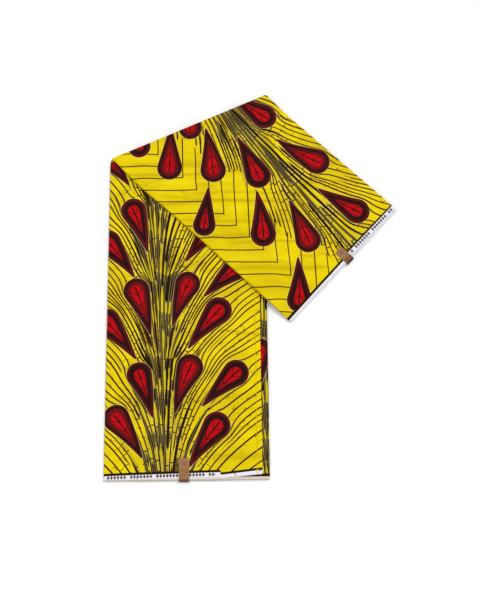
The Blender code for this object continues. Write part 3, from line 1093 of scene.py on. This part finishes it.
def printedCotton(name, plume, hasElbows, ends):
    # The print: yellow ground with painted shade and light of creases and wrinkles, stems, dark bundles,
    # elbow lines, buds over them, painted shade on ridges, then the selvedge and painted shade along the
    # pressed crease
    material, tree = newMaterial(name)
    stem, _ = attribute(tree, "stemField")
    trunk, _ = attribute(tree, "trunkField")
    (budOut, budBack, budAcross), _ = attribute(tree, "budField")
    (elbow, past, kind), _ = attribute(tree, "elbowField")
    (edge, marked, crease), _ = attribute(tree, "edgeField")
    (clothU, clothV, _), clothPlace = attribute(tree, "clothField")

    paint = Paint(tree, "yellow")
    broad = noiseOf(tree, clothPlace, *groundWork["broad"])
    blot = noiseOf(tree, clothPlace, *groundWork["blot"])
    # Painted shade along raised creases and painted light in their troughs, standing in for the relief's
    # shading
    ridgePaintedShade = crease.most(0.0).least(1.0)
    troughPaintedLight = crease.most(-1.0).least(0.0)
    wrinkleShade = wrinkleShadeLines(tree, clothU, clothV, ends["wrinkleShadeTurn"])
    paint.lay("deep", broad.above(*groundWork["broadPart"]) * groundWork["broadInk"])
    paint.lay("deep", blot.above(*groundWork["blotPart"]) * groundWork["blotInk"])
    paint.lay("deep", ridgePaintedShade * groundWork["ridgeShadeInk"])
    # Painted shade along fine wrinkles, where the broad noise is high
    paint.lay("deep", wrinkleShade * broad.above(*groundWork["wrinkleShadePart"]) * groundWork["wrinkleShadeInk"])
    paint.lay("paleYellow", troughPaintedLight * -groundWork["troughLightInk"])
    stemInk(paint, plume, stem, trunk, past)
    if hasElbows:
        step = elbowRule["step"]
        corner = ((elbow / step).part() - 0.5).size() * step
        paint.line(corner, *groundWork["elbow"], past.above(*groundWork["elbowFrom"]))
    budInk(paint, budOut, budBack, budAcross, kind)
    # More painted shade on raised creases, darkening the print over them
    paint.lay("line", ridgePaintedShade * groundWork["ridgeShade"])
    selvedgeInk(paint, clothU, edge, marked, ends)
    # Painted shade along the pressed crease, broken up by a noise
    if ends["pressed"]:
        pressShadeBreakup = noiseOf(tree, clothPlace, *groundWork["pressShadeBreakup"]).above(*groundWork["pressShadeBreakupPart"])
        pressed = (clothU - ends["pressed"]).size().under(*groundWork["press"])
        paint.lay("deep", pressed * pressShadeBreakup * groundWork["pressShadeInk"])
    vein = (noiseOf(tree, clothPlace, *groundWork["vein"]) - 0.5).size().under(*groundWork["crackle"])
    patches = noiseOf(tree, clothPlace, *groundWork["patch"]).above(*groundWork["patchPart"])
    paint.lay("line", vein * patches * groundWork["crackleInk"])
    finishCloth(paint, weaveHeight(tree, clothU, clothV, clothPlace), surface["cotton"])
    return material


surface = {
    "cotton": 0.7,  # roughness
    "paper": 0.52,
    "specular": 0.03,
    "sheen": 0.01,
    "sheenRoughness": 0.45,
    "bump": 0.5,
    "bumpDepth": 0.00012,
    "yarn": 0.00055,
    "slub": (900.0, 1.0, 5.0),
    "ribShare": 0.35,
}


def weaveHeight(tree, clothU, clothV, place):
    # Plain weave: ribs each way that take turns on top, uneven from yarn to yarn
    warp = (clothU * (2 * math.pi / surface["yarn"])).math("SINE")
    weft = (clothV * (2 * math.pi / surface["yarn"])).math("SINE")
    slub = noiseOf(tree, place, *surface["slub"])
    return warp * weft * surface["ribShare"] + slub * (1 - surface["ribShare"])


def finishCloth(paint, height, roughness):  # a dry, slightly waxed cloth, or paper
    tree = paint.tree
    shader = tree.nodes["Principled BSDF"]
    tree.links.new(paint.colour, shader.inputs["Base Color"])
    shader.inputs["Roughness"].default_value = roughness
    shader.inputs["Specular IOR Level"].default_value = surface["specular"]
    shader.inputs["Sheen Weight"].default_value = surface["sheen"]
    shader.inputs["Sheen Roughness"].default_value = surface["sheenRoughness"]
    bump = tree.nodes.new("ShaderNodeBump")
    bump.inputs["Strength"].default_value = surface["bump"]
    bump.inputs["Distance"].default_value = surface["bumpDepth"]
    tree.links.new(height.socket, bump.inputs["Height"])
    tree.links.new(bump.outputs[0], shader.inputs["Normal"])


# Sheets of the lower stack
clothStep = 0.0025
hiddenStep = 0.013
lowerRows = int(fold["at"] / clothStep)


def foldedSection(start, edge, height, depth, fine, shows=0.0):
    # A level face, fine only past the place from where it shows, the fold at its edge, the layer below it
    turn = edge - abs(depth) / 2
    across = level(max(start, shows), turn, fine)
    if shows > start:
        across = level(start, shows, hiddenStep)[:-1] + across
    face = [(u, height) for u in across]
    back = [(u, height - depth) for u in level(turn, start, hiddenStep)]
    return face + nose(edge, height, depth) + back


def buildFront():
    arc = [(0.0, coreBase)] + sideArc()
    section = arc + foldedSection(levelStart, strip["frontWidth"], stackDepth, strip["wall"], clothStep)
    sheet = clothSheet(section, frontEnd, foldLine(-fold["clear"]), lowerRows, strip["cotton"], False)
    fields = clothFields(sheet, lowerPlume, False, frontEdge, marksAt["front"], lowerCreases)
    cloth = printedCotton("frontPrint", lowerPlume, False, frontEnds)
    piece = makeMesh("frontPanelCloth", [sheet], [fields], cloth)
    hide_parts("front_panel")


secondPlume = dict(lowerPlume, closest=(0.0050, 0.0036), loose=((0.109, 0.262, 1.50, 0.95),))
secondShows = {"hidden": 0.004, "shift": -0.210}  # stretch drawn finely under the front panel, and its print


def buildSecond():
    depth = strip["thinWall"]
    shows = strip["frontWidth"] - secondShows["hidden"]
    section = foldedSection(levelStart, strip["width"], secondTop, depth, clothStep, shows)
    first, last = endLine(strip["secondEnd"]), foldLine(-fold["clear"])
    sheet = clothSheet(section, first, last, lowerRows, strip["cotton"], False, secondShows["shift"])
    fields = clothFields(sheet, secondPlume, False, levelEdge(selvedge["second"]), marksAt["none"])
    cloth = printedCotton("secondPrint", secondPlume, False, secondEnds)
    piece = makeMesh("secondLayerCloth", [sheet], [fields], cloth)
    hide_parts("second_layer")


def buildUnder():
    section = foldedSection(strip["underInset"], strip["width"], 0.0, -strip["wall"], clothStep * 2)
    first = endLine(strip["underEnd"])
    sheet = clothSheet(section, first, foldLine(-fold["clear"]), lowerRows // 2, strip["cotton"], True)
    fields = clothFields(sheet, lowerPlume, False, levelEdge(selvedge["under"]), marksAt["none"])
    cloth = printedCotton("underPrint", lowerPlume, False, innerEnds)
    piece = makeMesh("underPanelCloth", [sheet], [fields], cloth)
    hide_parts("under_panel")


def buildFlap():
    side = [(u, stackDepth - height) for u, height in sideArc()]
    section = [(0.0, flapDepth)] + side
    section += foldedSection(levelStart, strip["width"], 0.0, -strip["wall"], clothStep)
    rows = int((strip["length"] - fold["at"]) / clothStep)
    last = endLine((strip["length"], strip["length"]))
    sheet = clothSheet(section, foldLine(fold["start"]), last, rows, strip["cotton"], True)
    fields = clothFields(sheet, flapPlume, True, flapEdge, marksAt["flap"], flapCreases)
    cloth = printedCotton("flapPrint", flapPlume, True, flapEnds)
    piece = makeMesh("flapPanelCloth", [sheet], [fields], cloth)
    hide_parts("flap_panel")


# Hidden layers, as folded pairs. Each pair's fold and ends lie back from the pile's edges by their own
# amounts, so that the edges show as layers
pairs = {
    "lower": 5,
    "flap": 7,
    "lowerBack": (0.0002, 0.0021, 0.0009, 0.0028, 0.0013),
    "lowerEnds": (0.0024, 0.0006, 0.0030, 0.0000, 0.0014),
    "flapBack": (0.0022, 0.0006, 0.0031, 0.0012, 0.0026, 0.0003, 0.0017),
    "flapEnds": (0.0030, 0.0008, 0.0042, 0.0018, 0.0004, 0.0034, 0.0012),
    "lowerBase": 0.0006,  # their ends lie back this much more
    "flapBase": 0.0005,
    "lowerRows": 90,
    "flapRows": 110,
    "slack": 0.00005,
    "wave": 0.0005,
    "waveRun": 0.021,
    "waveShift": 2.3,
    "inset": 0.0030,  # closed edge of the hidden layers
    "cotton": 0.8,  # share of a layer's depth that is cloth
    "shift": -0.05,  # moves the print sideways, more from pair to pair
    "shiftStep": 0.041,
}


def layerSheet(number, base, top, back, first, last, rows, flipped):
    # One pair: the layer nearer the top, the fold at the open edge, and the layer under it
    depth = top - base - pairs["slack"]
    face, down = (base, -depth) if flipped else (top, depth)
    section = foldedSection(pairs["inset"], strip["width"] - back, face, down, hiddenStep)
    shift = pairs["shift"] - pairs["shiftStep"] * number
    return clothSheet(section, first, last, rows, strip["cotton"] * pairs["cotton"], flipped, shift)


def wavyEnd(start, slope, back, number):  # a sloping end with a wave of its own
    def end(u):
        wave = pairs["wave"] * np.sin(u / pairs["waveRun"] + pairs["waveShift"] * number)
        return start + slope * u / strip["width"] + back + wave

    return end


def buildLowerLayers():
    heights = np.linspace(coreBase, coreTop, pairs["lower"] + 1)
    line, step = selvedge["lowerLayers"]
    last = foldLine(-fold["clear"])
    rows = pairs["lowerRows"]
    sheets = []
    fields = []
    for k in range(pairs["lower"]):
        first = wavyEnd(0.0, 0.0, pairs["lowerEnds"][k] + pairs["lowerBase"], k)
        sheet = layerSheet(k, heights[k], heights[k + 1], pairs["lowerBack"][k], first, last, rows, False)
        sheets.append(sheet)
        fields.append(clothFields(sheet, lowerPlume, False, levelEdge(line + step * k), marksAt["none"]))
    cloth = printedCotton("lowerLayerPrint", lowerPlume, False, innerEnds)
    piece = makeMesh("lowerLayers", sheets, fields, cloth)
    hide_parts("lower_core")


def buildFlapLayers():
    heights = np.linspace(coreBase, flapDepth, pairs["flap"] + 1)
    line, step = selvedge["flapLayers"]
    first = foldLine(fold["start"])
    rows = pairs["flapRows"]
    sheets = []
    fields = []
    slope = strip["overhang"][1] - strip["overhang"][0]
    end = strip["length"] + strip["overhang"][0] - pairs["flapBase"]
    for k in range(pairs["flap"]):
        last = wavyEnd(end, slope, -pairs["flapEnds"][k], k)
        sheet = layerSheet(k, heights[k], heights[k + 1], pairs["flapBack"][k], first, last, rows, True)
        edge = levelEdge(strip["length"] - line + step * k, -1)
        sheets.append(sheet)
        fields.append(clothFields(sheet, flapPlume, False, edge, marksAt["none"]))
    cloth = printedCotton("flapLayerPrint", flapPlume, False, flapInnerEnds)
    piece = makeMesh("flapLayers", sheets, fields, cloth)
    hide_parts("flap_core")


# Paper labels, folded over the ends of the layers
label = {
    "wall": 0.0005,
    "clear": 0.0014,
    "foot": 0.0004,
    "curl": 0.0007,  # how far the loose end stands up
    "grid": (48, 14),
    "lower": {
        "middle": 0.1625,
        "width": 0.0210,
        "rise": ((0.0, 0.0044), (0.0010, 0.0072)),  # round its turn, as distance from there and height
        "flat": (0.0040, 0.0077, 0.0222, 0.0400),
        "length": 0.0472,
        "stamp": 0.0430,
        "dark": 0.0125,  # length of the darker end
    },
    "flap": {
        "middle": 0.183,
        "width": 0.0190,
        "rise": ((0.0, 0.0040), (0.0010, 0.0014)),
        "flat": (0.0060, 0.0200, 0.0310),
        "length": 0.0360,
        "stamp": 0.0330,
        "dark": 0.0170,
    },
}
paperWork = {
    "fibre": (420.0, 3.0, 0.0),
    "fibrePart": (0.52, 0.3),
    "fibreInk": 0.45,
    "cloud": (120.0, 2.0, 4.0),
    "cloudPart": (0.55, 0.2),
    "cloudInk": 0.35,
    "rosyFrom": 0.009,  # before the stamp's middle
    "rosyBlur": 0.004,
    "rosyInk": 0.55,
    "ring": (0.0041, 0.0052),
    "ringBlur": 0.0006,
    "dot": (0.0024, 0.0008),
    "stampInk": 0.55,
    "darkBlur": 0.0016,
    "darkInk": 0.62,
    "turnDarkest": (0.0085, 0.0012),  # stretch round the turn that is darkest
    "turnDarkestInk": 0.70,
    "side": 0.0088,
    "sideBlur": 0.0015,
    "sideInk": 0.25,
}


def roundedPath(points, times=3, share=0.25):
    # Cuts the corners of a path again and again, a share of each stretch, and keeps its two ends
    path = np.array(points, float)
    for _ in range(times):
        near = (1 - share) * path[:-1] + share * path[1:]
        far = share * path[:-1] + (1 - share) * path[1:]
        cut = np.stack([near, far], 1).reshape(-1, 2)
        path = np.concatenate([path[:1], cut, path[-1:]])
    return path


def labelPath(size, foot, face, curl):  # from below the layers, round their end and along the face
    flat = [(inside, face) for inside in size["flat"]]
    return roundedPath([(0.0, foot), *size["rise"], *flat, (size["length"], face + curl)])


def labelPiece(name, node, size, path, turn, along, material):
    # A strip of paper along a path of (distance from its turn, height in the layers)
    step = np.hypot(*np.diff(path, axis=0).T)
    length = float(step.sum())
    rows, columns = label["grid"]
    even = np.linspace(0, length, rows)
    run = np.concatenate([[0], np.cumsum(step)])
    inside = np.interp(even, run, path[:, 0])[:, None]
    n = np.interp(even, run, path[:, 1])[:, None]
    u = size["middle"] + np.linspace(-0.5, 0.5, columns)[None, :] * size["width"]
    paper = shell(settle(u, turn + along * inside, n), label["wall"], along < 0)
    across = np.broadcast_to(u - size["middle"], label["grid"])
    place = np.stack([across, np.broadcast_to(even[:, None], across.shape), np.zeros(across.shape)], -1)
    field = {"paperField": np.concatenate([place.reshape(-1, 3)] * 2)}
    piece = makeMesh(name, [paper], [field], material)
    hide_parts(node)


def labelPaper(name, size):
    # Brown paper: fibres along and across, worn edges, a plain round mark and a darker end
    material, tree = newMaterial(name)
    (across, down, _), place = attribute(tree, "paperField")
    fibre = noiseOf(tree, place, *paperWork["fibre"])
    cloud = noiseOf(tree, place, *paperWork["cloud"])
    stamp = size["stamp"]
    paint = Paint(tree, "paper")
    paint.lay("paperDark", fibre.above(*paperWork["fibrePart"]) * paperWork["fibreInk"])
    paint.lay("paperPale", cloud.above(*paperWork["cloudPart"]) * paperWork["cloudInk"])
    rosy = down.above(stamp - paperWork["rosyFrom"], paperWork["rosyBlur"])
    paint.lay("paperRosy", rosy * paperWork["rosyInk"])
    mark = ((across * across) + (down - stamp) * (down - stamp)).math("SQRT")
    inner, outer = paperWork["ring"]
    ring = mark.under(outer, paperWork["ringBlur"]) * mark.above(inner, paperWork["ringBlur"])
    dot = mark.under(*paperWork["dot"])
    paint.lay("paperStamp", (ring + dot).least(1.0) * paperWork["stampInk"])
    paint.lay("paperStamp", down.under(size["dark"], paperWork["darkBlur"]) * paperWork["darkInk"])
    # Darkest round the paper's turn at the layers' end
    paint.lay("rim", down.under(*paperWork["turnDarkest"]) * paperWork["turnDarkestInk"])
    side = (across.size() - paperWork["side"]).above(0.0, paperWork["sideBlur"])
    paint.lay("paperPale", side * paperWork["sideInk"])
    finishCloth(paint, fibre, surface["paper"])
    return material


def buildLabels():
    wall = strip["tagWall"]
    size = label["lower"]
    path = labelPath(size, label["foot"], stackDepth + strip["gap"] + wall, label["curl"])
    turn = -label["clear"] - wall
    labelPiece("lowerLabel", "lower_tag", size, path, turn, 1, labelPaper("lowerLabelPaper", size))
    size = label["flap"]
    path = labelPath(size, flapDepth - label["foot"], -strip["gap"] - wall, -label["curl"])
    slope = (strip["overhang"][1] - strip["overhang"][0]) / strip["width"]
    turn = strip["length"] + strip["overhang"][0] + slope * size["middle"] + label["clear"] + wall
    labelPiece("flapLabel", "flap_tag", size, path, turn, -1, labelPaper("flapLabelPaper", size))


buildFront()
print("cloth: front panel laid")
buildSecond()
buildUnder()
buildLowerLayers()
print("cloth: lower layers laid")
buildFlap()
buildFlapLayers()
print("cloth: flap folded over")
buildLabels()
print("cloth: labels put on")


# Floor and light
def plainMaterial(name, colour, roughness):
    material, tree = newMaterial(name)
    shader = tree.nodes["Principled BSDF"]
    shader.inputs["Base Color"].default_value = (*colour, 1.0)
    shader.inputs["Roughness"].default_value = roughness
    return material


studio = {
    "reach": 30.0,
    "drop": 0.0004,  # keeps the floor clear of the lowest layer
    "floor": (0.87, 0.87, 0.87),
    "roughness": 0.9,
    "world": 0.86,
    "sun": 1.32,
    "sunSpread": math.radians(24),
    "sunFrom": (0.38, 0.40, 0.83),
}


def buildStudio():
    mesh = bpy.data.meshes.new("studioFloor")
    reach, drop = studio["reach"], studio["drop"]
    corners = [(a * reach, b * reach, -drop) for a, b in ((-1, -1), (1, -1), (1, 1), (-1, 1))]
    mesh.from_pydata(corners, [], [(0, 1, 2, 3)])
    mesh.materials.append(plainMaterial("paleFloor", studio["floor"], studio["roughness"]))
    floor = bpy.data.objects.new("studioFloor", mesh)
    bpy.context.scene.collection.objects.link(floor)
    world = bpy.data.worlds.new("softStudio")
    world.use_nodes = True
    world.node_tree.nodes["Background"].inputs[0].default_value = (1.0, 1.0, 1.0, 1.0)
    world.node_tree.nodes["Background"].inputs[1].default_value = studio["world"]
    bpy.context.scene.world = world
    lamp = bpy.data.lights.new("softSun", "SUN")
    lamp.energy = studio["sun"]
    lamp.angle = studio["sunSpread"]
    holder = bpy.data.objects.new("softSun", lamp)
    holder.rotation_euler = (-Vector(studio["sunFrom"])).to_track_quat("-Z", "Y").to_euler()
    bpy.context.scene.collection.objects.link(holder)
    bpy.context.scene.view_settings.view_transform = "Standard"


buildStudio()
print("cloth: floor and light set")
